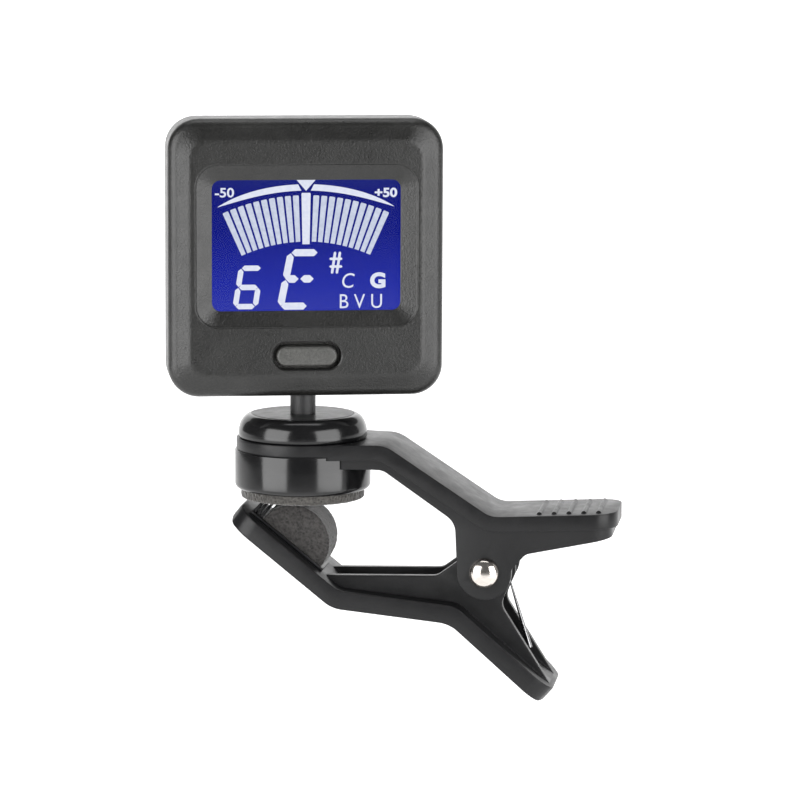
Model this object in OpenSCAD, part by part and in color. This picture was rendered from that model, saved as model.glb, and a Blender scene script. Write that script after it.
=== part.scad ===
// Clip-on instrument tuner: a square display head on a tilting, swivelling stem,
// held by a sprung clip with a round foam pad and a half-round lower pad.
// X points along the clip to its thumb levers, Y along the clip's pivot rivet and
// away from the display side, Z up along the swivel axis. The origin is the centre
// of the upper pad's gripping face.

/* [Clip arms] */
// Width of both arms' outer plates
arm_w = 14.6; // [13:0.2:16]
// Thickness of the outer plates
plate_t = 2.25; // [1.8:0.05:2.6]
// How far the upper arm's webs stand back from its plate's edge
web_inset = 0.8; // [0.4:0.05:0.9]
// Thickness of the webs of both arms
web_t = 1.2; // [0.9:0.1:1.4]
// Width over the lower arm's two webs
lower_web_w = 8.2; // [7.6:0.1:9]
// Radius of the upper arm's ears
ear_r = 4.05; // [3.6:0.05:4.6]
// Radius of the corners at the ends of the arms, seen from above
tip_r = 3.6; // [2:0.1:4]
// Number of grip ribs on the thumb lever
ribs = 5; // [3:1:6]

/* [Pivot] */
// Radius of the rivet's shank
rivet_r = 1.0; // [0.8:0.05:1.2]
// Radius of the rivet's domed heads
rivet_head_r = 2.25; // [1.8:0.05:2.6]
// Spring wire diameter
wire_d = 0.8; // [0.6:0.05:1]
// Turns in the spring's coil
coil_turns = 4; // [3:1:4]

/* [Swivel] */
// Radius of the cup that holds the upper pad
cup_r = 10.2; // [10:0.1:11]
// Radius of the upper pad
pad_r = 9.3; // [9:0.05:9.6]
// Radius of the collar
collar_r = 9.65; // [9.4:0.05:10]
// Radius of the polished swivel disc
disc_r = 7.75; // [7:0.05:8]
// Radius of the stem
stem_r = 1.9; // [1.6:0.05:2]

/* [Lower pad] */
// Radius of the half-round pad
roll_r = 5.7; // [5:0.05:5.8]
// Width of the half-round pad
roll_w = 8.6; // [7.6:0.1:9]

/* [Head] */
// Width of the head
head_w = 40.9; // [40:0.1:43]
// Height of the head
head_h = 41.3; // [40:0.1:43]
// Thickness of the head
head_t = 11.5; // [11:0.1:12.5]
// Corner radius of the head
head_r = 4.6; // [3.5:0.1:6]
// Height of the head's lower edge
head_z = 15.9; // [15.8:0.1:17]
// Angle of the head about the swivel axis
head_swivel = 14.5; // [-180:0.5:180]
// Visible width of the display
view_w = 28; // [27:0.1:29]
// Visible height of the display
view_h = 19.4; // [18.5:0.1:20]
// Height of the display's centre above the head's centre
view_up = 1.9; // [1.4:0.1:2.1]
// Length of the button's key
key_l = 9.2; // [8:0.1:10]
// Height of the button's key
key_h = 3.1; // [2.6:0.1:3.6]
// Height of the button above the head's lower edge
key_up = 6.2; // [5.8:0.1:6.4]
// Radius of the battery hatch
hatch_r = 11.6; // [11.4:0.1:12]

/* [Hidden] */
$fn = 48;
tiny = 0.01;
fit = 0.03;

// Heights in the stack of round parts, from the pad's face up
pad_t = 1.7;
cup_z = 1.45;
cup_top = 7.35;
arm_top = 9.1;
ring_r = 9.95;
collar_z = arm_top + 0.02;
disc_z = 12.7;
disc_t = 1.1;
axle_r = stem_r;
screw_z = 4.6;

// The upper arm's side outline
bend_hi = [13.5, arm_top];
bend_lo = [29.25, -1.18];
lever_end = [47.8, -0.2];
bend_r = 4.6;
pivot = [28.25, -9.75];

// The lower arm's side outline, outer face
jaw_bend = [5.5, -15.65];
jaw_a = 141.4;
jaw_l = 20.3;
lever_bend = [23.2, -17.45];
lever_a = -41.4;
lever_l = 18;
jaw_t = plate_t + 0.45;
lever_t = plate_t + 0.6;
lower_w = arm_w - 0.2;
lower_web = lower_web_w / 2;
web_top = -11.2;

// The tray under the half-round pad, measured along the jaw from its bend
tray_from = 4.7;
tray_to = 18.5;
tray_t = 0.5;
tray_w = 9.2;
roll_at = 10.85;
teeth = 3;

// Depths in the head, along its own Y, and heights
face_y = -6.5;
back_y = face_y + head_t;
split_y = -0.5;
wall = 1.5;
inner_face = face_y + 1.9;
inner_back = back_y - 1.4;
head_mid = head_z + head_h / 2;
view_z = head_mid + view_up;
key_z = head_z + key_up;
board_y = -2.6;
board_t = 0.8;
lcd_t = 1.05;
lcd_w = 31.4;
lcd_h = 23;
glow_h = 20.6;
recess_w = view_w + 4.7;
recess_h = view_h + 4.5;
tilt_y = 1.2;
tilt_z = head_z + 8;
tilt_pin_r = 0.8;
knuckle_r = 2.2;
slot_w = 2 * stem_r + 0.5;
lug_t = 2;
lug_x = stem_r + 0.2;
cell_r = 10;
cell_t = 3.2;
cell_y = -1.2;
cell_z = head_mid + 5.6;
post_x = head_w / 2 - 4.7;
post_z = head_h / 2 - 4.7;

// ---- outlines ----

function unit(v) = v / norm(v);

// Points of a closed outline whose corners are [x, y, radius]
function rounded_outline(corners, n = 6) = [
    for (i = [0 : len(corners) - 1])
        let (
            c = corners[i],
            p = [c[0], c[1]],
            before = corners[(i + len(corners) - 1) % len(corners)],
            after = corners[(i + 1) % len(corners)],
            a = unit([before[0], before[1]] - p),
            b = unit([after[0], after[1]] - p),
            half = acos(max(-1, min(1, a * b))) / 2,
            reach = c[2] / tan(half),
            middle = p + unit(a + b) * c[2] / sin(half),
            start = p + a * reach,
            stop = p + b * reach,
            from = atan2(start[1] - middle[1], start[0] - middle[0]),
            to = atan2(stop[1] - middle[1], stop[0] - middle[0]),
            sweep = (to - from + 540) % 360 - 180
        )
        for (k = [0 : (c[2] > 0 ? n : 0)])
            c[2] > 0
                ? middle + c[2] * [cos(from + sweep * k / n), sin(from + sweep * k / n)]
                : p
];

function rectangle(w, h, r) = rounded_outline([
    [-w / 2, -h / 2, r], [w / 2, -h / 2, r], [w / 2, h / 2, r], [-w / 2, h / 2, r]
]);

// A solid through a row of rings that have the same number of points each
module loft(rings) {
    n = len(rings[0]);
    last = len(rings) - 1;
    polyhedron(
        points = [for (r = rings) each r],
        faces = concat(
            [[for (k = [0 : n - 1]) k]],
            [for (i = [0 : last - 1]) for (k = [0 : n - 1])
                [i * n + k, (i + 1) * n + k, (i + 1) * n + (k + 1) % n, i * n + (k + 1) % n]],
            [[for (k = [n - 1 : -1 : 0]) last * n + k]]
        )
    );
}

// A plate standing across the head: w by h, from depth y0 to y1, centred at height z
module head_plate(w, h, r, y0, y1, z = head_mid)
    translate([0, y1, z])
        rotate([90, 0, 0])
            linear_extrude(y1 - y0)
                polygon(rectangle(w, h, r));

// A slot with round ends across the head
module stadium(l, h, y0, y1, z)
    translate([0, y1, z])
        rotate([90, 0, 0])
            linear_extrude(y1 - y0)
                polygon(rectangle(l, h, h / 2 - 0.1));

module in_head() rotate([0, 0, head_swivel]) children();

// A cylinder along Y from y0 to y1 at [x, z]
module rod_y(at, r, y0, y1)
    translate([at[0], y1, at[1]])
        rotate([90, 0, 0])
            cylinder(r = r, h = y1 - y0);

// A cylinder along X from x0 to x1 at [y, z]
module rod_x(at, r, x0, x1)
    translate([x0, at[0], at[1]])
        rotate([0, 90, 0])
            cylinder(r = r, h = x1 - x0);

// A side outline in X and Z, made solid over the width w
module side_solid(points, w)
    translate([0, w / 2, 0])
        rotate([90, 0, 0])
            linear_extrude(w)
                polygon(points);

// ---- upper arm ----

// Angle at which the arm's straight sides leave the ring
neck_a = 14.7;

// Seen from above: the ring, the narrowing neck and the parallel lever
function arm_plan(inset) =
    let (
        r = ring_r - inset,
        half = arm_w / 2 - inset,
        neck_x = r * sin(neck_a) + (r * cos(neck_a) - half) / tan(neck_a),
        end_x = lever_end[0] - inset,
        corner = rounded_outline([
            [neck_x, -half, 0], [end_x, -half, tip_r - inset],
            [end_x, half, tip_r - inset], [neck_x, half, 0]
        ])
    )
    concat(corner, [for (k = [0 : 44])
        let (a = (180 + 2 * neck_a) * k / 44 - neck_a)
        [-r * sin(a), r * cos(a)]]);

// The outer plate's side outline
function upper_plate_side() = rounded_outline([
    [-ring_r - 1, arm_top, 0],
    [bend_hi[0], bend_hi[1], bend_r],
    [bend_lo[0], bend_lo[1], bend_r - 0.6],
    [lever_end[0] + 1, lever_end[1], 0],
    [lever_end[0] + 1, lever_end[1] - plate_t, 0],
    [bend_lo[0] - 0.65, bend_lo[1] - plate_t, bend_r + 1],
    [bend_hi[0] - 0.67, arm_top - plate_t, bend_r - 2],
    [-ring_r - 1, arm_top - plate_t, 0]
]);

// The webs' side outline, with the ears round the pivot
function upper_web_side() = rounded_outline([
    [4, arm_top - 1, 0],
    [bend_hi[0] - 0.4, arm_top - 1, 1],
    [bend_lo[0] - 0.4, bend_lo[1] - 1, 1],
    [lever_end[0] + 1, lever_end[1] - 1, 0],
    [lever_end[0] + 1, -3.75, 0],
    [34.4, -6.75, 1.8],
    [pivot[0] + ear_r, pivot[1] + 0.6, 0.8],
    [pivot[0] + ear_r, pivot[1], 0],
    [pivot[0] + ear_r, pivot[1] - ear_r, ear_r - tiny],
    [pivot[0] - ear_r, pivot[1] - ear_r, ear_r - tiny],
    [pivot[0] - ear_r, pivot[1], 0],
    [pivot[0] - ear_r - 0.35, -2.2, 3],
    [bend_hi[0] - 0.5, 5.3, 2.5],
    [4, 5.5, 0]
], 8);

module plan_solid(inset)
    translate([0, 0, -20])
        linear_extrude(40)
            polygon(arm_plan(inset));

rib_pitch = 2.2;
rib_r = 0.38;
rib_l = 11.2;
rib_x = lever_end[0] - 11.5;

module upper_arm() color("#2b2b2d") {
    difference() {
        union() {
            intersection() {
                side_solid(upper_plate_side(), 2 * ring_r + 2);
                plan_solid(0);
            }
            difference() {
                intersection() {
                    side_solid(upper_web_side(), 2 * ring_r + 2);
                    plan_solid(web_inset);
                }
                plan_solid(web_inset + web_t);
            }
        }
        translate([0, 0, -10])
            cylinder(r = cup_r + 0.05, h = 10 + cup_top);
        cylinder(r = axle_r + 0.05, h = 20);
        rod_y(pivot, rivet_r, -arm_w, arm_w);
    }
    for (i = [0 : ribs - 1]) {
        rib_at = rib_x + i * rib_pitch;
        rib_top = lever_end[1] + (rib_at - lever_end[0]) * (lever_end[1] - bend_lo[1])
            / (lever_end[0] - bend_lo[0]);
        difference() {
            rod_y([rib_at, rib_top - 0.05], rib_r, -rib_l / 2, rib_l / 2);
            translate([rib_at - 1, -arm_w, rib_top - 2.3])
                cube([2, 2 * arm_w, 2]);
        }
    }
}

// ---- round parts of the clip ----

module collar() color("#1f1f21")
    difference() {
        rotate_extrude($fn = 96)
            polygon(concat(
                [[axle_r + 0.05, collar_z], [collar_r - 0.25, collar_z], [collar_r, collar_z + 0.3]],
                [for (a = [0 : 11.25 : 90])
                    [collar_r - 1.9 * (1 - cos(a)), disc_z - 2.85 + 2.8 * sin(a)]],
                [[axle_r + 0.05, disc_z - 0.05]]
            ));
        translate([0, 0, disc_z - disc_t])
            cylinder(r = disc_r + 0.06, h = disc_t + 1, $fn = 96);
    }

module pad_cup() color("#232325")
    difference() {
        rotate_extrude($fn = 96)
            polygon(concat(
                [[0, cup_z]],
                [for (a = [-90 : 15 : 0])
                    [cup_r - 0.8 * (1 - cos(a)), cup_z + 0.8 + 0.8 * sin(a)]],
                [[cup_r, cup_top], [0, cup_top]]
            ));
        translate([0, 0, cup_z - 1])
            cylinder(r = pad_r + 0.05, h = pad_t - cup_z + 1, $fn = 96);
        translate([0, 0, 3.1])
            cylinder(r = 8.6, h = 10);
    }

module upper_pad() color("#5d5c5b") cylinder(r = pad_r, h = pad_t, $fn = 96);

// ---- pivot ----

rivet_head_y = arm_w / 2 - web_inset;
rivet_head_h = 1.45;

module pivot_rivet() color("#d8d6d2") {
    rod_y(pivot, rivet_r, -rivet_head_y - 0.1, rivet_head_y + 0.1);
    dome_r = (rivet_head_r ^ 2 + rivet_head_h ^ 2) / (2 * rivet_head_h);
    for (side = [-1, 1])
        intersection() {
            translate([pivot[0], side * (rivet_head_y + rivet_head_h - dome_r), pivot[1]])
                sphere(r = dome_r);
            rod_y(pivot, 3, side > 0 ? rivet_head_y : -rivet_head_y - 2,
                side > 0 ? rivet_head_y + 2 : -rivet_head_y);
        }
}

module pivot_spacers() color("#d9d7cf")
    for (side = [-1, 1]) {
        inner = lower_web + 0.04;
        outer = arm_w / 2 - web_inset - web_t - 0.04;
        difference() {
            rod_y(pivot, 2.9, side > 0 ? inner : -outer, side > 0 ? outer : -inner);
            rod_y(pivot, rivet_r + fit, -arm_w, arm_w);
        }
    }

// The spring is one wire: a leg along the upper lever, the coil, and a leg down
// the lower lever
coil_r = 2.25;
coil_step = wire_d + 0.06;
leg_hi = [40.5, -3.35];
leg_lo = [34.4, -22.4];

function tangent_angle(target, side) =
    let (v = target - pivot) atan2(v[1], v[0]) + side * acos(coil_r / norm(v));

hi_a = tangent_angle(leg_hi, 1);
lo_a = tangent_angle(leg_lo, -1);
coil_a = 360 * coil_turns - (lo_a - hi_a + 720) % 360;
coil_half = coil_step * coil_a / 720;

function coil_at(t) =
    let (a = hi_a + coil_a * t)
    [pivot[0] + coil_r * cos(a), coil_half * (2 * t - 1), pivot[1] + coil_r * sin(a)];

coil_rings = 18 * coil_turns;
wire_path = concat(
    [[leg_hi[0], -coil_half, leg_hi[1]]],
    [for (k = [0 : coil_rings]) coil_at(k / coil_rings)],
    [[leg_lo[0], coil_half, leg_lo[1]]]
);

// A closed tube along a path that stays near the plane across Y
module wire_tube(path, d, sides = 8) {
    n = len(path);
    function along(i) = unit(path[min(i + 1, n - 1)] - path[max(i - 1, 0)]);
    loft([for (i = [0 : n - 1])
        let (t = along(i), u = unit(cross(t, [0, 1, 0])), v = cross(u, t))
        [for (k = [0 : sides - 1])
            path[i] + d / 2 * (u * cos(360 * k / sides) + v * sin(360 * k / sides))]
    ]);
}

module torsion_spring() color("#b9b9bb") wire_tube(wire_path, wire_d);

// ---- lower arm ----

// A point on the lower arm, so far along its jaw or lever and so far in from its
// outer face
function on_jaw(along, up) =
    jaw_bend + along * [cos(jaw_a), sin(jaw_a)] + up * [sin(jaw_a), -cos(jaw_a)];

function on_lever(along, up) =
    lever_bend + along * [cos(lever_a), sin(lever_a)] + up * [-sin(lever_a), cos(lever_a)];

module at_jaw(along, up)
    translate([on_jaw(along, up)[0], 0, on_jaw(along, up)[1]])
        rotate([0, 180 - jaw_a, 0])
            children();

module at_lever(along, up)
    translate([on_lever(along, up)[0], 0, on_lever(along, up)[1]])
        rotate([0, -lever_a, 0])
            children();

function lower_plate_side() = rounded_outline([
    [for (v = on_jaw(jaw_l, 0)) v, 1],
    [for (v = jaw_bend) v, 5],
    [for (v = lever_bend) v, 5],
    [for (v = on_lever(lever_l, 0)) v, 0.8],
    [for (v = on_lever(lever_l, lever_t)) v, 0.3],
    [lever_bend[0] + 0.9, lever_bend[1] + jaw_t, 4],
    [jaw_bend[0] + 0.9, jaw_bend[1] + jaw_t, 4],
    [for (v = on_jaw(jaw_l, jaw_t)) v, 0.3]
]);

function lower_web_side() = rounded_outline([
    [3.6, web_top, 0],
    [20.9, web_top + 0.4, 2],
    [pivot[0] - 4.1, -8.4, 1.5],
    [pivot[0] - 3.6, pivot[1] + 3.9, 3.2],
    [pivot[0] + 3.7, pivot[1] + 3.9, 3.5],
    [pivot[0] + 3.7, pivot[1] - 1.6, 2],
    [30.5, -14.9, 2],
    [for (v = on_lever(lever_l - 0.9, lever_t)) v, 0],
    [for (v = on_lever(lever_l - 1.6, lever_t - 1)) v, 0],
    [lever_bend[0], lever_bend[1] + 1.2, 0],
    [jaw_bend[0], jaw_bend[1] + 1.2, 0]
]);

// Takes the square corner off one end of a plate, seen from above: the plate ends
// at x = 0
module corner_tool(half, r)
    translate([0, 0, -2])
        linear_extrude(8)
            polygon(concat(
                [[1, half + 1], [1, half - r]],
                [for (a = [0 : 15 : 90]) [r * cos(a) - r + 0.03, half - r + r * sin(a) + 0.03]],
                [[-r, half + 1]]
            ));

module lower_arm() color("#29292b")
    difference() {
        union() {
            side_solid(lower_plate_side(), lower_w);
            for (side = [-1, 1])
                translate([0, side * (lower_web - web_t / 2), 0])
                    side_solid(lower_web_side(), web_t);
        }
        for (side = [0, 1]) {
            at_lever(lever_l, 0)
                mirror([0, side, 0])
                    corner_tool(lower_w / 2, tip_r);
            at_jaw(jaw_l, 0)
                rotate([0, 0, 180])
                    mirror([0, side, 0])
                        corner_tool(lower_w / 2, tip_r + 0.6);
        }
        rod_y(pivot, rivet_r + fit, -arm_w, arm_w);
    }

// The tray's own frame runs up the jaw towards its tip
module pad_tray() color("#343436") {
    at_jaw(tray_to, jaw_t)
        translate([0, -tray_w / 2, 0])
            cube([tray_to - tray_from, tray_w, tray_t]);
    for (i = [0 : teeth - 1])
        at_jaw(tray_to - 0.2 - 0.6 * i, jaw_t + tray_t - 0.1)
            translate([0, -tray_w / 2 + 0.5, 0])
                cube([0.35, tray_w - 1, 1.6 + 0.15 * i]);
}

module lower_pad() color("#4d4c4b")
    at_jaw(roll_at, jaw_t + tray_t)
        intersection() {
            rod_y([0, 0], roll_r, -roll_w / 2, roll_w / 2);
            translate([-10, -10, 0])
                cube([20, 20, 20]);
        }

// ---- swivel ----

module stem() color("#303032") in_head()
    difference() {
        union() {
            translate([0, 0, screw_z + 1])
                cylinder(r = axle_r, h = disc_z - screw_z - 1);
            translate([0, 0, disc_z])
                cylinder(r = stem_r, h = 4.6);
            translate([-stem_r, 0, 0])
                rotate([90, 0, 90])
                    linear_extrude(2 * stem_r)
                        polygon([[-1.2, 16.9], [1.2, 16.9], [tilt_y + 1.6, tilt_z],
                            [tilt_y - 1.6, tilt_z]]);
            rod_x([tilt_y, tilt_z], knuckle_r, -stem_r, stem_r);
        }
        rod_x([tilt_y, tilt_z], tilt_pin_r + fit, -5, 5);
        translate([0, 0, screw_z])
            cylinder(r = 0.8, h = 6, $fn = 32);
    }

module swivel_disc() color("#1d1d1f") in_head()
    translate([0, 0, disc_z - disc_t + 0.05])
        difference() {
            cylinder(r = disc_r, h = disc_t - 0.05, $fn = 96);
            translate([0, 0, -1])
                cylinder(r = axle_r, h = 3);
        }

module swivel_washer() color("#c2c0bb") in_head()
    translate([0, 0, screw_z + 0.6])
        difference() {
            cylinder(r = 3.6, h = cup_top - screw_z - 0.65);
            translate([0, 0, -1])
                cylinder(r = axle_r + 0.1, h = 8);
            translate([0, 0, 0.4])
                cylinder(r = 2.9, h = cup_top - screw_z - 1.45);
        }

module swivel_screw() color("#bdbcb9") in_head()
    difference() {
        union() {
            translate([0, 0, screw_z - 0.8])
                cylinder(r = 3, h = 1.4);
            translate([0, 0, screw_z + 0.5])
                cylinder(r = 0.8, h = 5, $fn = 32);
        }
        for (turn = [0, 90])
            rotate([0, 0, turn])
                translate([-1.3, -0.25, screw_z - 0.9])
                    cube([2.6, 0.5, 0.8]);
    }

// ---- tilt joint ----

module tilt_pin() color("#c8c6c2") in_head()
    rod_x([tilt_y, tilt_z], tilt_pin_r, -lug_x - lug_t, lug_x + lug_t);

module tilt_washers() color("#b48a3c") in_head()
    for (side = [-1, 1])
        difference() {
            rod_x([tilt_y, tilt_z], 1.9, side > 0 ? stem_r + 0.02 : -lug_x + 0.02,
                side > 0 ? lug_x - 0.02 : -stem_r - 0.02);
            rod_x([tilt_y, tilt_z], tilt_pin_r + fit, -5, 5);
        }

// ---- head casing ----

// How far the casing is drawn in at each depth, from face or back to its side
front_steps = [[3.3, face_y], [1.45, face_y + 0.45], [0.5, face_y + 0.95],
    [0.12, face_y + 1.55], [-0.1, face_y + 2.6], [-1, face_y + 2.6], [-1, split_y]];
back_steps = [[1.7, back_y], [0.75, back_y - 0.65], [0.2, back_y - 1.5],
    [-0.1, back_y - 2.6], [-1, back_y - 2.6], [-1, split_y]];

module posts(r, y0, y1)
    for (x = [-post_x, post_x], z = [-post_z, post_z])
        rod_y([x, head_mid + z], r, y0, y1);

// A solid whose outline half u wide and half v high changes with depth y by the
// rows [u, v, y]
module tapered(rows, z) {
    back = [for (i = [len(rows) - 1 : -1 : 0]) rows[i]];
    intersection() {
        translate([0, 0, z - head_h])
            linear_extrude(2 * head_h)
                polygon(concat([for (r = rows) [r[0], r[2]]], [for (r = back) [-r[0], r[2]]]));
        translate([-head_w, 0, z])
            rotate([90, 0, 90])
                linear_extrude(2 * head_w)
                    polygon(concat([for (r = rows) [r[2], r[1]]], [for (r = back) [r[2], -r[1]]]));
    }
}

module casing(steps)
    intersection() {
        tapered([for (s = steps) [head_w / 2 - s[0], head_h / 2 - s[0], s[1]]], head_mid);
        head_plate(head_w, head_h, head_r, face_y - 1, back_y + 1);
    }

module front_shell() color("#4a4a47") in_head()
    difference() {
        union() {
            difference() {
                casing(front_steps);
                head_plate(head_w - 2 * wall, head_h - 2 * wall, head_r - wall,
                    inner_face, split_y + 1);
            }
            posts(1.7, inner_face - 0.2, split_y);
        }
        // sloping frame round the display, its opening and the window's pocket
        intersection() {
            tapered([
                [recess_w / 2 + 0.55, recess_h / 2 + 0.55, face_y - 0.2],
                [view_w / 2 - 0.5, view_h / 2 - 0.5, face_y + 1.2]
            ], view_z);
            head_plate(recess_w + 0.3, recess_h + 0.3, 3.2, face_y - 1, face_y + 2, view_z);
        }
        head_plate(view_w, view_h, 1.3, face_y + 0.6, face_y + 1.6, view_z);
        head_plate(view_w + 2.2, view_h + 2, 1.6, face_y + 1.3, 0, view_z);
        stadium(key_l + 0.7, key_h + 0.7, face_y - 1, 0, key_z);
        posts(0.7, inner_face + 0.3, 1);
        translate([-slot_w / 2, -3.7, head_z - 1])
            cube([slot_w, 5, 4]);
    }

module rear_shell() color("#3c3c3a") in_head()
    difference() {
        union() {
            difference() {
                casing(back_steps);
                head_plate(head_w - 2 * wall, head_h - 2 * wall, head_r - wall,
                    split_y - 1, inner_back);
            }
            posts(2.2, split_y, inner_back + 0.2);
            for (side = [-1, 1])
                translate([side > 0 ? lug_x : -lug_x - lug_t, -1.3, tilt_z - 3])
                    cube([lug_t, inner_back + 1.5, 6]);
        }
        rod_x([tilt_y, tilt_z], tilt_pin_r, -5, 5);
        // the stem's slot, through the lower wall and up the back
        translate([-slot_w / 2, -3, head_z - 1])
            cube([slot_w, 12, tilt_z - head_z + 1 + knuckle_r + 0.3]);
        rod_y([0, cell_z], hatch_r + 0.1, back_y - 0.85, back_y + 1);
        rod_y([0, cell_z], hatch_r - 0.9, 0, back_y);
        // bayonet entries, an eighth of a turn from where the hatch's tabs lock
        for (turn = [45, 225])
            translate([0, 0, cell_z])
                rotate([0, turn, 0])
                    translate([0, inner_back - 0.5, -1.8])
                        cube([hatch_r, 2.1, 3.6]);
        posts(0.95, split_y - 1, back_y + 1);
        posts(1.7, back_y - 1.0, back_y + 1);
    }

module shell_screws() color("#8d8d8f") in_head()
    for (x = [-post_x, post_x], z = [-post_z, post_z])
        difference() {
            union() {
                rod_y([x, head_mid + z], 1.6, back_y - 0.98, back_y - 0.2);
                rod_y([x, head_mid + z], 0.8, -3.6, back_y - 0.9);
            }
            translate([x, back_y - 0.45, head_mid + z])
                for (turn = [0, 90])
                    rotate([0, turn, 0])
                        translate([-0.95, 0, -0.2])
                            cube([1.9, 1, 0.4]);
        }

// ---- display ----

module screen_window() color("#9fb4e0") in_head()
    head_plate(view_w + 2, view_h + 1.8, 1.5, face_y + 1.32, inner_face - 0.02, view_z);

module lcd_panel() color("#2a3bc4") in_head()
    head_plate(lcd_w, lcd_h, 0.3, inner_face + 0.02, inner_face + lcd_t, view_z);

module backlight() color("#e8ecf4") in_head()
    head_plate(lcd_w - 1, glow_h, 0.5, inner_face + lcd_t, board_y, view_z + 0.9);

module lcd_connector() color("#d06f8c") in_head()
    head_plate(lcd_w - 2, 1.5, 0.2, inner_face + lcd_t, board_y,
        view_z + 0.9 - glow_h / 2 - 0.85);

// ---- electronics ----

module circuit_board() color("#1f6b3a") in_head()
    difference() {
        head_plate(head_w - 3.5, head_h - 4.7, 2, board_y, board_y + board_t, head_mid + 0.2);
        posts(2, board_y - 1, board_y + 2);
        translate([-slot_w / 2 - 0.6, board_y - 1, head_z])
            cube([slot_w + 1.2, 4, 4.3]);
    }

module part_block(x, z, w, h, t)
    translate([x - w / 2, board_y + board_t, z - h / 2])
        cube([w, t, h]);

module board_components() color("#222224") in_head() {
    part_block(11.2, head_z + 9, 6, 6, 0.9);
    part_block(11.4, head_z + 4.6, 3.2, 1.3, 0.7);
    part_block(-14.5, head_mid + 4, 2, 4, 1);
    for (i = [0 : 3])
        part_block(6.8, head_z + 5 + 2 * i, 1.6, 0.8, 0.6);
    for (i = [0 : 3])
        part_block(14.6, head_mid + 2 * i, 0.8, 1.6, 0.6);
}

module tact_switch() color("#c9c9c6") in_head() {
    translate([-2.6, board_y - 0.85, key_z - 1.6])
        cube([5.2, 0.85, 3.2]);
    rod_y([0, key_z], 0.8, board_y - 1.1, board_y - 0.8);
}

module power_button() color("#50504d") in_head() {
    stadium(key_l, key_h, face_y - 0.15, inner_face + 0.3, key_z);
    stadium(key_l + 2.2, key_h + 1.6, inner_face + 0.05, inner_face + 0.5, key_z);
}

module piezo_sensor() color("#c9a44c") in_head() {
    rod_y([-10.8, head_z + 11.6], 6, inner_back - 0.22, inner_back);
    rod_y([-10.8, head_z + 11.6], 4.2, inner_back - 0.42, inner_back - 0.22);
}

// ---- battery ----

module battery_holder() color("#2a2a2c") in_head()
    difference() {
        rod_y([0, cell_z], cell_r + 1.2, board_y + board_t, cell_y + 2.2);
        rod_y([0, cell_z], cell_r + 0.15, board_y, cell_y + 3);
        translate([cell_r - 2, board_y, cell_z - 2.2])
            cube([4, 5, 4.4]);
    }

module coin_cell() color("#c4c4c6") in_head() {
    rod_y([0, cell_z], cell_r, cell_y + 0.6, cell_y + cell_t);
    rod_y([0, cell_z], cell_r - 1.1, cell_y, cell_y + 0.6);
}

module battery_contact_negative() color("#c9b37a") in_head() {
    translate([-5, board_y + board_t, cell_z - 1.5])
        cube([10, 0.2, 3]);
    rod_y([0, cell_z], 1.1, board_y + board_t, cell_y);
}

module battery_contact_positive() color("#c9b37a") in_head() {
    translate([cell_r + 0.05, board_y + board_t, cell_z - 1.8])
        cube([0.25, cell_t + 0.2, 3.6]);
    translate([cell_r + 0.05, board_y + board_t, cell_z - 1.8])
        cube([2.6, 0.2, 3.6]);
}

module battery_hatch() color("#3a3a38") in_head()
    difference() {
        union() {
            rod_y([0, cell_z], hatch_r, back_y - 0.8, back_y);
            rod_y([0, cell_z], hatch_r - 1, cell_y + cell_t + 0.15, back_y - 0.7);
            for (turn = [0, 180])
                translate([0, 0, cell_z])
                    rotate([0, turn, 0])
                        translate([hatch_r - 2.5, inner_back - 0.85, -1.5])
                            cube([2.1, 0.8, 3]);
        }
        translate([-6.5, back_y - 0.9, cell_z - 0.8])
            cube([13, 2, 1.6]);
    }

upper_arm();
collar();
pad_cup();
upper_pad();
pivot_rivet();
pivot_spacers();
torsion_spring();
lower_arm();
pad_tray();
lower_pad();
stem();
swivel_disc();
swivel_washer();
swivel_screw();
tilt_pin();
tilt_washers();
front_shell();
rear_shell();
screen_window();
lcd_panel();
backlight();
lcd_connector();
circuit_board();
board_components();
tact_switch();
power_button();
piezo_sensor();
battery_holder();
coin_cell();
battery_contact_negative();
battery_contact_positive();
battery_hatch();
shell_screws();
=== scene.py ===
import math

import bmesh
import bpy
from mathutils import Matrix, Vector, noise


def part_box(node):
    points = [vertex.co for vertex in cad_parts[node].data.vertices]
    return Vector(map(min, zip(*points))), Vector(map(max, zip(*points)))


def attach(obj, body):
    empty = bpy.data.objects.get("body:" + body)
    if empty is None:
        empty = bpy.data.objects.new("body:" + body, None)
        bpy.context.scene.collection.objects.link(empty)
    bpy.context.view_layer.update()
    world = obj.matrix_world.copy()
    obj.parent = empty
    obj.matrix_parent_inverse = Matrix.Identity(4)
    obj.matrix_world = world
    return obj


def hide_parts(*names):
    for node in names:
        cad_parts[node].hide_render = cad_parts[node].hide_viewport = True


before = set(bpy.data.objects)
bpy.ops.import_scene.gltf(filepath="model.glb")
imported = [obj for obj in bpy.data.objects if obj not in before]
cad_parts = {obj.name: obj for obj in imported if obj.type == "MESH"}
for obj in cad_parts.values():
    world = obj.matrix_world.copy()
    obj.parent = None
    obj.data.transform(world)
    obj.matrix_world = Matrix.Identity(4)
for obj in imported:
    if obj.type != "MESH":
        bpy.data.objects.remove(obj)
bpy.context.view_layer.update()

MM = 0.001
FLAT_ANGLE = math.radians(0.6)  # faces closer than this in angle are joined into one

# ---- sizes, in millimetres, from the record and the frame ----

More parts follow.
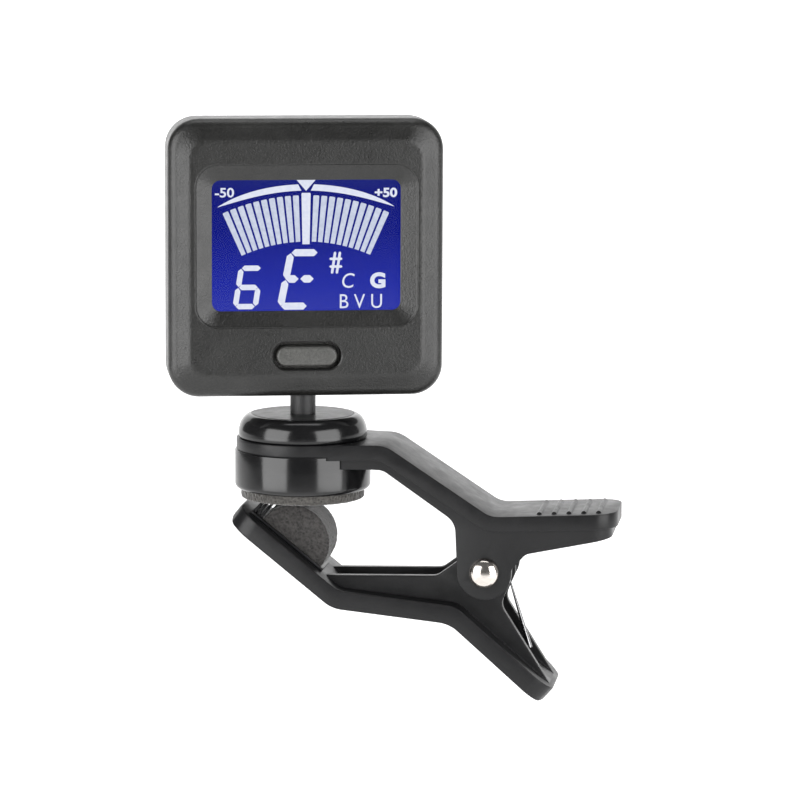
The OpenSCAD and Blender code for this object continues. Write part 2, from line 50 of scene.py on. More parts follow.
SWIVEL = math.radians(14.5)  # the head's angle about the swivel axis
HEAD_W, HEAD_H, HEAD_R = 40.9, 41.3, 4.6
HEAD_Z = 15.9
HEAD_MID = HEAD_Z + HEAD_H / 2
FACE_Y, SPLIT_Y, BACK_Y = -6.5, -0.5, 5.0
WALL = 1.5  # thickness of the casing
INNER_FACE, INNER_BACK = FACE_Y + 1.9, BACK_Y - 1.4
VIEW_W, VIEW_H, VIEW_R = 28.0, 19.4, 1.3
VIEW_Z = HEAD_MID + 1.9
RECESS_W, RECESS_H, RECESS_R = VIEW_W + 4.7, VIEW_H + 4.5, 3.2
LCD_Y = INNER_FACE + 0.02
KEY_L, KEY_H, KEY_Z = 9.2, 3.1, HEAD_Z + 6.2
TILT_Z = HEAD_Z + 8
CELL_Z, HATCH_R = HEAD_MID + 5.6, 11.6
POST_X, POST_Z = HEAD_W / 2 - 4.7, HEAD_H / 2 - 4.7
SLOT_W = 4.3  # slot in the casing for the post
CUP_R, CUP_TOP = 10.2, 7.35
PAD_R = 9.3
COLLAR_R, COLLAR_Z = 9.65, 9.12
DISC_R, DISC_Z = 7.75, 12.7
RIVET_R, RIVET_HEAD_R, RIVET_HEAD_H, RIVET_Y = 1.0, 2.25, 1.45, 6.5
CUP_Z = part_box("pad_cup")[0].z / MM
PAD_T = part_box("upper_pad")[1].z / MM
PIVOT_X = (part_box("pivot_rivet")[0].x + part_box("pivot_rivet")[1].x) / 2 / MM
PIVOT_Z = (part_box("pivot_rivet")[0].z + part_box("pivot_rivet")[1].z) / 2 / MM


# ---- colour and material helpers ----


def linear(code):
    """An sRGB hex colour as linear RGBA."""
    parts = [int(code[i:i + 2], 16) / 255 for i in (1, 3, 5)]
    return tuple(p / 12.92 if p <= 0.04045 else ((p + 0.055) / 1.055) ** 2.4 for p in parts) + (1,)


def add(tree, kind, links=None, **values):
    """Adds a node, sets its properties and inputs, and links the inputs given in links."""
    node = tree.nodes.new(kind)
    for name, value in values.items():
        if hasattr(node, name) and name not in node.inputs:
            setattr(node, name, value)
        else:
            node.inputs[name.replace("_", " ")].default_value = value
    for socket, source in (links or {}).items():
        tree.links.new(source, node.inputs[socket])
    return node


def new_material(name):
    """A material with its tree, its shader and the object's own coordinates."""
    material = bpy.data.materials.new(name)
    material.use_nodes = True
    tree = material.node_tree
    shader = tree.nodes["Principled BSDF"]
    coords = tree.nodes.new("ShaderNodeTexCoord").outputs["Object"]
    return material, tree, shader, coords


def noise_at(tree, coords, size_mm, detail=3, rough=0.5):
    """Noise whose features are about size_mm across."""
    node = add(tree, "ShaderNodeTexNoise", {"Vector": coords})
    node.inputs["Scale"].default_value = 1 / (size_mm * MM)
    node.inputs["Detail"].default_value = detail
    node.inputs["Roughness"].default_value = rough
    return node.outputs["Fac"]


def spread(tree, source, low, high, start=0.3, end=0.7):
    """Maps a pattern between start and end onto low to high."""
    node = tree.nodes.new("ShaderNodeMapRange")
    for name, value in zip(("From Min", "From Max", "To Min", "To Max"), (start, end, low, high)):
        node.inputs[name].default_value = value
    tree.links.new(source, node.inputs["Value"])
    return node.outputs["Result"]


def bump(tree, height, distance_mm, before=None):
    """Relief of the given depth, added to the relief before it."""
    node = tree.nodes.new("ShaderNodeBump")
    node.inputs["Distance"].default_value = distance_mm * MM
    node.inputs["Strength"].default_value = 1.0
    tree.links.new(height, node.inputs["Height"])
    if before:
        tree.links.new(before, node.inputs["Normal"])
    return node.outputs["Normal"]


def mix_colour(tree, factor, a, b):
    """A blend of two colours by a pattern."""
    node = tree.nodes.new("ShaderNodeMix")
    node.data_type = "RGBA"
    tree.links.new(factor, node.inputs["Factor"])
    node.inputs["A"].default_value = a
    node.inputs["B"].default_value = b
    return node.outputs["Result"]


def moulded(name, dark, light, rough, grain, depth, wear=None, metal=0.0, ior=1.5, edge=0.0):
    """A moulded or finished surface: two close tones in soft blotches, a grain in relief, and a
    roughness that varies with handling. grain, depth and wear are sizes in millimetres, and edge
    is the radius that shaded edges are rounded to."""
    material, tree, shader, coords = new_material(name)
    blotch = noise_at(tree, coords, 6.0, 4, 0.6)
    fine = noise_at(tree, coords, grain, 3, 0.6)
    tone = tree.nodes.new("ShaderNodeMath")
    tone.operation = "ADD"
    tree.links.new(spread(tree, blotch, 0, 0.5), tone.inputs[0])
    tree.links.new(spread(tree, fine, 0, 0.5), tone.inputs[1])
    colour = mix_colour(tree, tone.outputs[0], linear(dark), linear(light))
    tree.links.new(colour, shader.inputs["Base Color"])
    handled = noise_at(tree, coords, wear or 2.5, 5, 0.7)
    tree.links.new(spread(tree, handled, rough[0], rough[1]), shader.inputs["Roughness"])
    relief = None
    if edge:
        broken = tree.nodes.new("ShaderNodeBevel")
        broken.inputs["Radius"].default_value = edge * MM
        relief = broken.outputs["Normal"]
    relief = bump(tree, fine, depth, relief)
    if wear:
        relief = bump(tree, handled, depth * 1.5, relief)
    tree.links.new(relief, shader.inputs["Normal"])
    shader.inputs["Metallic"].default_value = metal
    shader.inputs["IOR"].default_value = ior
    return material


# ---- finishes ----

# Casing: ABS moulded in a spark-eroded tool, so it has an even sandy grain. The grain is
# drawn coarser than such a tool leaves it, so that it shows.
CASE = moulded("abs_spark_eroded_grain", "#0f0f0e", "#242423", (0.26, 0.38), 0.32, 0.06)
# Button key: the same ABS in a paler tone with a coarser sand
KEY = moulded("abs_button_coarse_grain", "#2b2b2a", "#50504d", (0.34, 0.5), 0.35, 0.07)
# Arms: glass-filled nylon, satin from the tool, with fine fibre grain
NYLON = moulded("nylon_glass_filled_satin", "#121213", "#1a1a1b", (0.28, 0.42), 0.25, 0.008,
                ior=1.36, edge=0.3)
# Cup and collar: ABS from a polished tool, with the faint waviness of the moulding
GLOSS = moulded("abs_polished_black", "#0b0b0c", "#121213", (0.12, 0.2), 2.0, 0.004)
# Swivel disc: satin black chrome on brass, rubbed by the post's turning
DISC = moulded("black_chrome_plate", "#101011", "#1c1c1d", (0.3, 0.42), 0.2, 0.004)
# Post: acetal with a fine sanded grain
ACETAL = moulded("acetal_sanded_black", "#242425", "#333334", (0.4, 0.55), 0.18, 0.02)
# Rivet: nickel plate on drawn steel
NICKEL = moulded("nickel_plated_rivet", "#c9c2bb", "#e0dad4", (0.1, 0.2), 0.5, 0.003, 0.8, 1.0)
# Spring: drawn music wire
WIRE = moulded("music_wire_drawn", "#8f8f90", "#b5b5b6", (0.2, 0.34), 0.3, 0.004, 0.9, 1.0)
# Spacers and light guide: natural acetal and frosted acrylic
SPACER = moulded("acetal_natural_turned", "#cfcdc4", "#dcdad2", (0.35, 0.5), 0.4, 0.01)
GUIDE = moulded("acrylic_frosted_guide", "#dfe4ee", "#eef1f6", (0.4, 0.6), 0.3, 0.01)
# Metal fittings: bright pressed steel, black oxide screws and stamped brass contacts
STEEL = moulded("steel_bright_pressed", "#9a9a9c", "#b9b9bb", (0.22, 0.36), 0.5, 0.004, 1.5, 1.0)
SCREW = moulded("steel_black_oxide_screw", "#2d2d2f", "#47474a", (0.3, 0.45), 0.2, 0.006, 0.8, 1.0)
BRASS = moulded("brass_stamped", "#b08a45", "#c9a45c", (0.25, 0.4), 0.4, 0.004, 1.5, 1.0)
# Circuit board, its moulded parts and the layered rubber strip that feeds the display
BOARD = moulded("glass_epoxy_green_mask", "#124a27", "#1b6233", (0.25, 0.4), 0.5, 0.01)
CHIPS = moulded("epoxy_moulded_black", "#161617", "#222223", (0.45, 0.6), 0.1, 0.01)
ELASTOMER = moulded("silicone_layered_strip", "#b8607a", "#cf7d95", (0.5, 0.7), 0.3, 0.01)


def foam_material(name, dark, light, cell_mm):
    """Closed-cell foam, cut open: round cells of two sizes, with painted shade darkening their hollows.
    """
    material, tree, shader, coords = new_material(name)
    cells = tree.nodes.new("ShaderNodeTexVoronoi")
    cells.inputs["Scale"].default_value = 1 / (cell_mm * MM)
    tree.links.new(coords, cells.inputs["Vector"])
    specks = noise_at(tree, coords, cell_mm * 0.7, 4, 0.75)
    # Painted shade: the tone darkens towards each cell's centre, where the relief is lowest; the specks
    # add a random tone.
    tone = tree.nodes.new("ShaderNodeMath")
    tone.operation = "MULTIPLY_ADD"
    tree.links.new(spread(tree, cells.outputs["Distance"], 0, 0.55, 0.0, 0.75), tone.inputs[0])
    tone.inputs[1].default_value = 1.0
    tree.links.new(spread(tree, specks, 0, 0.6, 0.35, 0.65), tone.inputs[2])
    colour = mix_colour(tree, tone.outputs[0], linear(dark), linear(light))
    tree.links.new(colour, shader.inputs["Base Color"])
    tree.links.new(spread(tree, specks, 0.75, 0.95), shader.inputs["Roughness"])
    relief = bump(tree, cells.outputs["Distance"], cell_mm * 0.3)
    relief = bump(tree, specks, cell_mm * 0.25, relief)
    tree.links.new(relief, shader.inputs["Normal"])
    shader.inputs["Specular IOR Level"].default_value = 0.25
    shader.inputs["Sheen Weight"].default_value = 0.5
    shader.inputs["Sheen Roughness"].default_value = 0.4
    return material


# Foams: grey for the round pad, darker for the half-round one
FOAM_UPPER = foam_material("foam_closed_cell_grey", "#0f0f0e", "#54524f", 0.4)
FOAM_LOWER = foam_material("foam_closed_cell_dark", "#0b0b0b", "#434140", 0.42)


def display_material():
    """Display glass lit from behind: navy at the top and violet blue at the bottom, with the
    fine grain of the diffuser."""
    material, tree, shader, coords = new_material("lcd_blue_backlit")
    split = add(tree, "ShaderNodeSeparateXYZ", {"Vector": coords})
    low, high = (VIEW_Z - VIEW_H / 2) * MM, (VIEW_Z + VIEW_H / 2) * MM
    height = spread(tree, split.outputs["Z"], 0, 1, low, high)
    ramp = tree.nodes.new("ShaderNodeValToRGB")
    tree.links.new(height, ramp.inputs["Fac"])
    stops = ((0.0, "#323aae"), (0.2, "#222da8"), (0.6, "#0c1788"), (0.9, "#0a147c"),
             (1.0, "#18227c"))
    while len(ramp.color_ramp.elements) < len(stops):
        ramp.color_ramp.elements.new(0.5)
    for element, (place, code) in zip(ramp.color_ramp.elements, stops):
        element.position = place
        element.color = linear(code)
    grain = noise_at(tree, coords, 0.25, 3, 0.6)
    shade = tree.nodes.new("ShaderNodeMix")
    shade.data_type = "RGBA"
    shade.blend_type = "MULTIPLY"
    shade.inputs["Factor"].default_value = 1.0
    tree.links.new(ramp.outputs["Color"], shade.inputs["A"])
    tree.links.new(spread(tree, grain, 0.85, 1.1), shade.inputs["B"])
    tree.links.new(shade.outputs["Result"], shader.inputs["Emission Color"])
    shader.inputs["Base Color"].default_value = linear("#05060f")
    shader.inputs["Emission Strength"].default_value = 1.0
    shader.inputs["Specular IOR Level"].default_value = 0.1
    shader.inputs["Roughness"].default_value = 0.3
    return material


def lit_segment_material(name, dim, bright):
    """Clear segments of the display, through which the backlight shows."""
    material, tree, shader, coords = new_material(name)
    glow = noise_at(tree, coords, 0.5, 2, 0.5)
    colour = mix_colour(tree, spread(tree, glow, 0, 1), linear(dim), linear(bright))
    tree.links.new(colour, shader.inputs["Emission Color"])
    shader.inputs["Base Color"].default_value = linear("#101018")
    shader.inputs["Emission Strength"].default_value = 1.0
    shader.inputs["Specular IOR Level"].default_value = 0.1
    shader.inputs["Roughness"].default_value = 0.4
    return material


def window_material():
    """Clear acrylic: mostly see-through, with a faint reflection."""
    material = bpy.data.materials.new("acrylic_clear_window")
    material.use_nodes = True
    tree = material.node_tree
    tree.nodes.remove(tree.nodes["Principled BSDF"])
    out = tree.nodes["Material Output"]
    clear = add(tree, "ShaderNodeBsdfTransparent")
    clear.inputs["Color"].default_value = linear("#f4f6fa")
    shine = add(tree, "ShaderNodeBsdfGlossy")
    shine.inputs["Roughness"].default_value = 0.06
    edge = add(tree, "ShaderNodeFresnel")
    edge.inputs["IOR"].default_value = 1.2
    blend = add(tree, "ShaderNodeMixShader", {"Fac": edge.outputs["Fac"]})
    tree.links.new(clear.outputs[0], blend.inputs[1])
    tree.links.new(shine.outputs[0], blend.inputs[2])
    tree.links.new(blend.outputs[0], out.inputs["Surface"])
    return material


LCD = display_material()
# Signs and the middle bar are lit fully, the other bars a little less
SEGMENT = lit_segment_material("lcd_segment_lit", "#eef0fb", "#fcfcff")
SCALE = lit_segment_material("lcd_segment_dimmed", "#d2d7e6", "#e6eaf4")
WINDOW = window_material()

# ---- mesh helpers ----


def make(name, vertices, faces, material, sharp=35):
    """A mesh object from points in millimetres, smooth except at edges sharper than the angle."""
    mesh = bpy.data.meshes.new(name)
    mesh.from_pydata([Vector(v) * MM for v in vertices], [], faces)
    return finish_mesh(name, mesh, material, sharp)


def finish_mesh(name, mesh, material, sharp=35):
    """An object of the mesh, with doubled points joined and its faces turned outward."""
    shape = bmesh.new()
    shape.from_mesh(mesh)
    bmesh.ops.remove_doubles(shape, verts=shape.verts, dist=0.002 * MM)
    bmesh.ops.recalc_face_normals(shape, faces=shape.faces)
    shape.to_mesh(mesh)
    shape.free()
    smooth(mesh, sharp)
    mesh.materials.clear()
    mesh.materials.append(material)
    piece = bpy.data.objects.new(name, mesh)
    bpy.context.collection.objects.link(piece)
    return piece


def smooth(mesh, sharp):
    """Smooth shading, broken at edges sharper than so many degrees."""
    mesh.polygons.foreach_set("use_smooth", [True] * len(mesh.polygons))
    mesh.set_sharp_from_angle(angle=math.radians(sharp))


def place(piece, body, slot, *nodes):
    """Puts a piece on its body, in the place of the CAD nodes named. The slot is not used."""
    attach(piece, body)
    if nodes:
        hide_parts(*nodes)
    return piece


def bake(piece):
    """Turns the piece's modifiers into plain mesh."""
    depsgraph = bpy.context.evaluated_depsgraph_get()
    mesh = bpy.data.meshes.new_from_object(piece.evaluated_get(depsgraph))
    piece.modifiers.clear()
    old = piece.data
    piece.data = mesh
    bpy.data.meshes.remove(old)
    return piece


def turned(points, angle=SWIVEL):
    """Points turned about the swivel axis: from the head's own directions to the frame's."""
    c, s = math.cos(angle), math.sin(angle)
    return [(x * c - y * s, x * s + y * c, z) for x, y, z in points]


def rounded(w, h, r, steps=12):
    """A rounded rectangle about the origin, in X and Z."""
    points = []
    for k, (sx, sz) in enumerate(((1, -1), (1, 1), (-1, 1), (-1, -1))):
        for i in range(steps + 1):
            a = math.radians(-90 + 90 * k + 90 * i / steps)
            points.append((sx * (w / 2 - r) + r * math.cos(a), sz * (h / 2 - r) + r * math.sin(a)))
    return points


def ring(w, h, r, y, z=HEAD_MID, steps=12):
    """A rounded rectangle standing across the head at depth y."""
    return [(x, y, z + dz) for x, dz in rounded(w, h, r, steps)]


def loft(rings, loop=False):
    """Vertices and faces through a row of rings. With loop, the last ring joins the first;
    otherwise both ends are capped."""
    n = len(rings[0])
    vertices = [p for r in rings for p in r]
    pairs = [(i, (i + 1) % len(rings)) for i in range(len(rings) - (0 if loop else 1))]
    faces = [
        (a * n + k, b * n + k, b * n + (k + 1) % n, a * n + (k + 1) % n)
        for a, b in pairs for k in range(n)
    ]
    if not loop:
        faces.append(tuple(range(n - 1, -1, -1)))
        faces.append(tuple((len(rings) - 1) * n + k for k in range(n)))
    return vertices, faces


def curve(a, b, c, steps=8):
    """A quadratic curve from a to c that heads for b."""
    out = []
    for i in range(steps + 1):
        t = i / steps
        out.append(tuple((1 - t) ** 2 * p + 2 * t * (1 - t) * q + t * t * s
                         for p, q, s in zip(a, b, c)))
    return out


def lathe(profile, sides=160):
    """Vertices and faces of a profile of (radius, height) turned about Z. Ends at radius 0
    close to a point."""
    rings = [[(r * math.cos(2 * math.pi * k / sides), r * math.sin(2 * math.pi * k / sides), z)
              for k in range(sides)] for r, z in profile]
    vertices = [p for r in rings for p in r]
    faces = [
        (i * sides + k, (i + 1) * sides + k, (i + 1) * sides + (k + 1) % sides,
         i * sides + (k + 1) % sides)
        for i in range(len(profile) - 1) for k in range(sides)
    ]
    return vertices, faces


def shifted(points, x=0, y=0, z=0):
    """The points, moved."""
    return [(a + x, b + y, c + z) for a, b, c in points]


def along_y(points):
    """Turns a shape made about Z to stand about Y, its height running to +Y."""
    return [(x, z, -y) for x, y, z in points]


def cut(piece, cutters):
    """Takes the cutters' solids out of the piece."""
    for cutter in cutters:
        modifier = piece.modifiers.new("cut", "BOOLEAN")
        modifier.operation = "DIFFERENCE"
        modifier.solver = "EXACT"
        modifier.object = cutter
    bake(piece)
    for cutter in cutters:
        bpy.data.objects.remove(cutter)
    return piece


def tool(vertices, faces):
    """A solid for cut(), which removes it afterwards."""
    return make("tool", vertices, faces, STEEL)


def box_mesh(x0, x1, y0, y1, z0, z1):
    """Vertices and faces of a box."""
    vertices = [(x, y, z) for x in (x0, x1) for y in (y0, y1) for z in (z0, z1)]
    faces = [(0, 1, 3, 2), (4, 6, 7, 5), (0, 4, 5, 1), (2, 3, 7, 6), (0, 2, 6, 4), (1, 5, 7, 3)]
    return vertices, faces


def rod(at_x, at_z, r, y0, y1, sides=64):
    """Vertices and faces of a round bar along Y."""
    vertices, faces = lathe([(0, y0), (r, y0), (r, y1), (0, y1)], sides)
    return shifted(along_y(vertices), at_x, 0, at_z), faces


def softened(name, node, material, width, segments=3, limit=32, sharp=40):
    """A copy of a CAD node with its flat stretches joined up and its edges rounded."""
    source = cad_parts[node]
    mesh = source.data.copy()
    shape = bmesh.new()
    shape.from_mesh(mesh)
    bmesh.ops.remove_doubles(shape, verts=shape.verts, dist=0.002 * MM)
    bmesh.ops.dissolve_limit(
        shape, angle_limit=FLAT_ANGLE, verts=shape.verts, edges=shape.edges)
    bmesh.ops.remove_doubles(shape, verts=shape.verts, dist=0.02 * MM)
    bmesh.ops.dissolve_limit(
        shape, angle_limit=FLAT_ANGLE, verts=shape.verts, edges=shape.edges)
    shape.to_mesh(mesh)
    shape.free()
    mesh.materials.clear()
    mesh.materials.append(material)
    piece = bpy.data.objects.new(name, mesh)
    bpy.context.collection.objects.link(piece)
    round_edges(piece, width, segments, limit)
    smooth(piece.data, sharp)
    return piece


def round_edges(piece, width, segments=3, limit=32):
    """Rounds the edges sharper than limit degrees to width millimetres."""
    modifier = piece.modifiers.new("rounding", "BEVEL")
    modifier.width = width * MM
    modifier.segments = segments
    modifier.limit_method = "ANGLE"
    modifier.angle_limit = math.radians(limit)
    modifier.use_clamp_overlap = True
    modifier.harden_normals = False
    weights = piece.modifiers.new("weights", "WEIGHTED_NORMAL")
    weights.keep_sharp = True
    return bake(piece)


def shade_flats(piece):
    """Smooth shading in which large flat faces stay flat."""
    smooth(piece.data, 35)
    piece.modifiers.new("weights", "WEIGHTED_NORMAL").keep_sharp = True
    bake(piece)


# ---- head casing ----


def inset_ring(inset, y):
    """The casing's outline at y, drawn in by inset."""
    return ring(HEAD_W - 2 * inset, HEAD_H - 2 * inset, HEAD_R - 0.55 * inset, y)


def stadium(l, h, y):
    """A pill-shaped ring round the key's centre."""
    return ring(l, h, h / 2 - 0.01, y, KEY_Z)


def front_shell():
    """The front casing: a loft from the seam over the brow, into the window's frame and back
    inside, with openings for the key and the post."""
    side = [(0, SPLIT_Y), (0, SPLIT_Y - 0.15), (0, FACE_Y + 2.55)]
    shoulder = curve((0, FACE_Y + 2.5), (0, FACE_Y + 1.2), (1.5, FACE_Y + 0.8), 10)
    brow = curve((2.8, FACE_Y + 0.2), (3.2, FACE_Y), (3.6, FACE_Y), 4)
    rings = [inset_ring(i, y) for i, y in side + shoulder + brow]
    rings.append(inset_ring(3.65, FACE_Y))
    for grow, depth in ((0.75, 0), (0.45, 0), (0.28, 0.03), (0.12, 0.12), (0, 0.2)):
        rings.append(ring(RECESS_W + grow, RECESS_H + grow, RECESS_R + grow / 2, FACE_Y + depth,
                          VIEW_Z))
    for t in (0.05, 0.95):
        rings.append(ring(RECESS_W + (VIEW_W - RECESS_W) * t, RECESS_H + (VIEW_H - RECESS_H) * t,
                          RECESS_R + (VIEW_R - RECESS_R) * t, FACE_Y + 0.2 + 0.92 * t, VIEW_Z))
    rings.append(ring(VIEW_W, VIEW_H, VIEW_R, FACE_Y + 1.14, VIEW_Z))
    rings.append(ring(VIEW_W, VIEW_H, VIEW_R, FACE_Y + 1.3, VIEW_Z))
    rings.append(ring(VIEW_W + 2.2, VIEW_H + 2, 1.6, FACE_Y + 1.3, VIEW_Z))
    rings.append(ring(VIEW_W + 2.2, VIEW_H + 2, 1.6, INNER_FACE, VIEW_Z))
    rings.append(ring(HEAD_W - 2 * WALL, HEAD_H - 2 * WALL, HEAD_R - WALL, INNER_FACE))
    rings.append(ring(HEAD_W - 2 * WALL, HEAD_H - 2 * WALL, HEAD_R - WALL, SPLIT_Y))
    vertices, faces = loft(rings, loop=True)
    piece = make("front_casing", turned(vertices), faces, CASE)
    opening = loft([
        stadium(KEY_L + 1.5, KEY_H + 1.5, FACE_Y - 0.3), stadium(KEY_L + 1.4, KEY_H + 1.4, FACE_Y),
        stadium(KEY_L + 1.05, KEY_H + 1.05, FACE_Y + 0.14),
        stadium(KEY_L + 0.9, KEY_H + 0.9, FACE_Y + 0.4), stadium(KEY_L + 0.9, KEY_H + 0.9, -1)])
    post_slot = box_mesh(-SLOT_W / 2, SLOT_W / 2, -4.1, 1, HEAD_Z - 1, HEAD_Z + 3)
    cut(piece, [tool(turned(v), f) for v, f in (opening, post_slot)])
    shade_flats(piece)
    return place(piece, "head", "case", "front_shell")


def rear_shell():
    """The rear casing, hollow, with seats for the hatch and the screws and two lugs."""
    side = [(0, SPLIT_Y), (0, BACK_Y - 3.2)]
    shoulder = curve((0, BACK_Y - 3.1), (0, BACK_Y - 0.2), (2.2, BACK_Y), 10)
    outer = [inset_ring(i, y) for i, y in side + shoulder]
    outer.append(inset_ring(2.3, BACK_Y))
    inner = [ring(HEAD_W - 2 * WALL, HEAD_H - 2 * WALL, HEAD_R - WALL, y)
             for y in (SPLIT_Y - 0.5, INNER_BACK)]
    piece = make("rear_casing", turned(loft(outer)[0]), loft(outer)[1], CASE)
    tools = [loft(inner)]
    tools.append(box_mesh(-SLOT_W / 2, SLOT_W / 2, -3, 9, HEAD_Z - 1, TILT_Z + 2.5))
    tools.append(rod(0, CELL_Z, HATCH_R + 0.12, BACK_Y - 0.85, BACK_Y + 1, 128))
    tools.append(rod(0, CELL_Z, HATCH_R - 0.9, 0, BACK_Y, 128))
    for x in (-POST_X, POST_X):
        for z in (-POST_Z, POST_Z):
            tools.append(rod(x, HEAD_MID + z, 1.72, BACK_Y - 1, BACK_Y + 1, 48))
    cut(piece, [tool(turned(v), f) for v, f in tools])
    add_lugs(piece)
    round_edges(piece, 0.12, 2, 50)
    shade_flats(piece)
    return place(piece, "head", "case", "rear_shell")


def add_lugs(piece):
    """Adds the two lugs that hold the tilt pin."""
    shape = bmesh.new()
    shape.from_mesh(piece.data)
    for x0 in (2.1, -4.1):
        vertices, faces = box_mesh(x0, x0 + 2, -1.3, INNER_BACK + 0.1, TILT_Z - 3, TILT_Z + 3)
        made = [shape.verts.new(Vector(v) * MM) for v in turned(vertices)]
        for face in faces:
            shape.faces.new([made[i] for i in face])
    shape.to_mesh(piece.data)
    shape.free()


def key():
    """The button's key: a pill with a soft rim and a flange inside the casing."""
    top = FACE_Y - 0.15
    steps = [(0, INNER_FACE + 0.3), (0.1, top + 0.5), (0.14, top + 0.3), (0.22, top + 0.13),
             (0.36, top + 0.04), (0.55, top + 0.01), (0.8, top)]
    rings = [stadium(KEY_L - 2 * i, KEY_H - 2 * i, y) for i, y in steps]
    vertices, faces = loft(rings)
    piece = make("button_key", turned(vertices), faces, KEY, 50)
    flange = loft([stadium(KEY_L + 2.2, KEY_H + 1.6, INNER_FACE + 0.05),
                   stadium(KEY_L + 2.2, KEY_H + 1.6, INNER_FACE + 0.5)])
    merge(piece, turned(flange[0]), flange[1])
    return place(piece, "button", "case", "power_button")


def merge(piece, vertices, faces):
    """Adds a separate closed shape to a piece."""
    shape = bmesh.new()
    shape.from_mesh(piece.data)
    made = [shape.verts.new(Vector(v) * MM) for v in vertices]
    new = [shape.faces.new([made[i] for i in face]) for face in faces]
    bmesh.ops.recalc_face_normals(shape, faces=new)
    shape.to_mesh(piece.data)
    shape.free()
    smooth(piece.data, 35)


def hatch():
    """The battery hatch: a flat disc with a bevelled rim, a coin slot and three finger dots."""
    profile = [(0, 2.15), (HATCH_R - 1, 2.15), (HATCH_R - 1, 4.25), (HATCH_R, 4.25),
               (HATCH_R, 4.8), (HATCH_R - 0.06, 4.92), (HATCH_R - 0.2, BACK_Y), (0, BACK_Y)]
    vertices, faces = lathe(profile, 128)
    piece = make("battery_hatch_disc", turned(shifted(along_y(vertices), z=CELL_Z)), faces, CASE)
    slot_l, slot_w = 13, 1.6
    dots_at, dot_r = 9.2, 0.45
    slot = loft([[(x, y, CELL_Z + z) for x, z in rounded(slot_l, slot_w, 0.75, 8)]
                 for y in (4.1, 6)])
    tools = [slot]
    for a in (60, 90, 120):
        x, z = dots_at * math.cos(math.radians(a)), dots_at * math.sin(math.radians(a))
        tools.append(rod(x, CELL_Z + z, dot_r, BACK_Y - 0.25, BACK_Y + 1, 24))
    cut(piece, [tool(turned(v), f) for v, f in tools])
    for side in (-1, 1):
        tab = box_mesh(*sorted((side * 9.1, side * 11.2)), 2.75, 3.55, CELL_Z - 1.5, CELL_Z + 1.5)
        merge(piece, turned(tab[0]), tab[1])
    shade_flats(piece)
    return place(piece, "hatch", "case", "battery_hatch")


# ---- round parts of the clip ----


def collar():
    """The glossy collar: a ring with a rounded shoulder and a seat for the swivel disc."""
    shoulder = [(COLLAR_R - 1.9 * (1 - math.cos(a)), DISC_Z - 2.85 + 2.8 * math.sin(a))
                for a in [math.radians(90 * i / 16) for i in range(17)]]
    profile = [(2, COLLAR_Z), (COLLAR_R - 0.3, COLLAR_Z), (COLLAR_R - 0.1, COLLAR_Z + 0.06),
               (COLLAR_R, COLLAR_Z + 0.25)] + shoulder
    profile += [(DISC_R + 0.08, DISC_Z - 0.07), (DISC_R + 0.06, DISC_Z - 0.25),
                (DISC_R + 0.06, DISC_Z - 1.1), (2, DISC_Z - 1.1), (2, COLLAR_Z)]
    vertices, faces = lathe(profile)
    return place(make("collar_ring", vertices, faces, GLOSS, 50), "clip", "gloss_black", "collar")


def pad_cup():
    """The glossy cup, with a rounded foot round the seat of the foam pad."""
    well_r, well_z = 8.6, 3.1
    foot = [(CUP_R - 0.8 + 0.8 * math.cos(a), CUP_Z + 0.8 + 0.8 * math.sin(a))
            for a in [math.radians(-90 + 90 * i / 10) for i in range(11)]]
    profile = [(0, CUP_TOP), (well_r, CUP_TOP), (CUP_R - 0.12, CUP_TOP), (CUP_R - 0.03, CUP_TOP - 0.04),
               (CUP_R, CUP_TOP - 0.14)] + foot[::-1]
    profile += [(PAD_R + 0.2, CUP_Z), (PAD_R + 0.05, CUP_Z + 0.08), (PAD_R + 0.05, PAD_T),
                (well_r, PAD_T), (well_r, well_z), (0, well_z)]
    vertices, faces = lathe(profile)
    return place(make("pad_cup_ring", vertices, faces, GLOSS, 50), "clip", "gloss_black", "pad_cup")


def swivel_disc():
    """The plated disc on the collar, with a fine rolled rim and a hole for the post."""
    top, floor, hole = DISC_Z, DISC_Z - 1.05, 1.9
    profile = [(hole, floor), (DISC_R, floor), (DISC_R, top - 0.2), (DISC_R - 0.04, top - 0.07),
               (DISC_R - 0.15, top - 0.01), (DISC_R - 0.3, top), (DISC_R - 0.5, top - 0.005),
               (hole, top - 0.005), (hole, floor)]
    vertices, faces = lathe(profile)
    piece = make("swivel_disc_plate", turned(vertices), faces, DISC, 60)
    return place(piece, "swivel", "disc_chrome", "swivel_disc")


def roughened(piece, amount, size):
    """Moves each point of a foam piece by a little noise along its normal, in millimetres."""
    mesh = piece.data
    normals = [v.normal.copy() for v in mesh.vertices]
    for vertex, normal in zip(mesh.vertices, normals):
        at = vertex.co / (size * MM)
        push = noise.fractal(at, 0.8, 2.1, 4) * amount - amount
        vertex.co += normal * push * MM
    mesh.update()
    return piece


def upper_pad():
    """The round foam pad, a little crowned at its cut edge."""
    edge = [(PAD_R - 0.35 + 0.35 * math.cos(a), 0.35 + 0.35 * math.sin(a))
            for a in [math.radians(-90 + 15 * i) for i in range(7)]]
    side = [(PAD_R, 0.35 + (PAD_T - 0.35) * i / 10) for i in range(1, 11)]
    face = [(PAD_R - 0.35 - (PAD_R - 0.35) * i / 56, 0) for i in range(56, 0, -1)]
    top = [(PAD_R - PAD_R * i / 8, PAD_T) for i in range(1, 9)]
    vertices, faces = lathe(face + edge + side + top, 420)
    piece = make("upper_foam_pad", vertices, faces, FOAM_UPPER, 60)
    roughened(piece, 0.06, 0.55)
    return place(piece, "clip", "foam", "upper_pad")


# The jaw's outer face runs from this bend at this angle
JAW_BEND, JAW_A = (5.5, -15.65), math.radians(141.4)


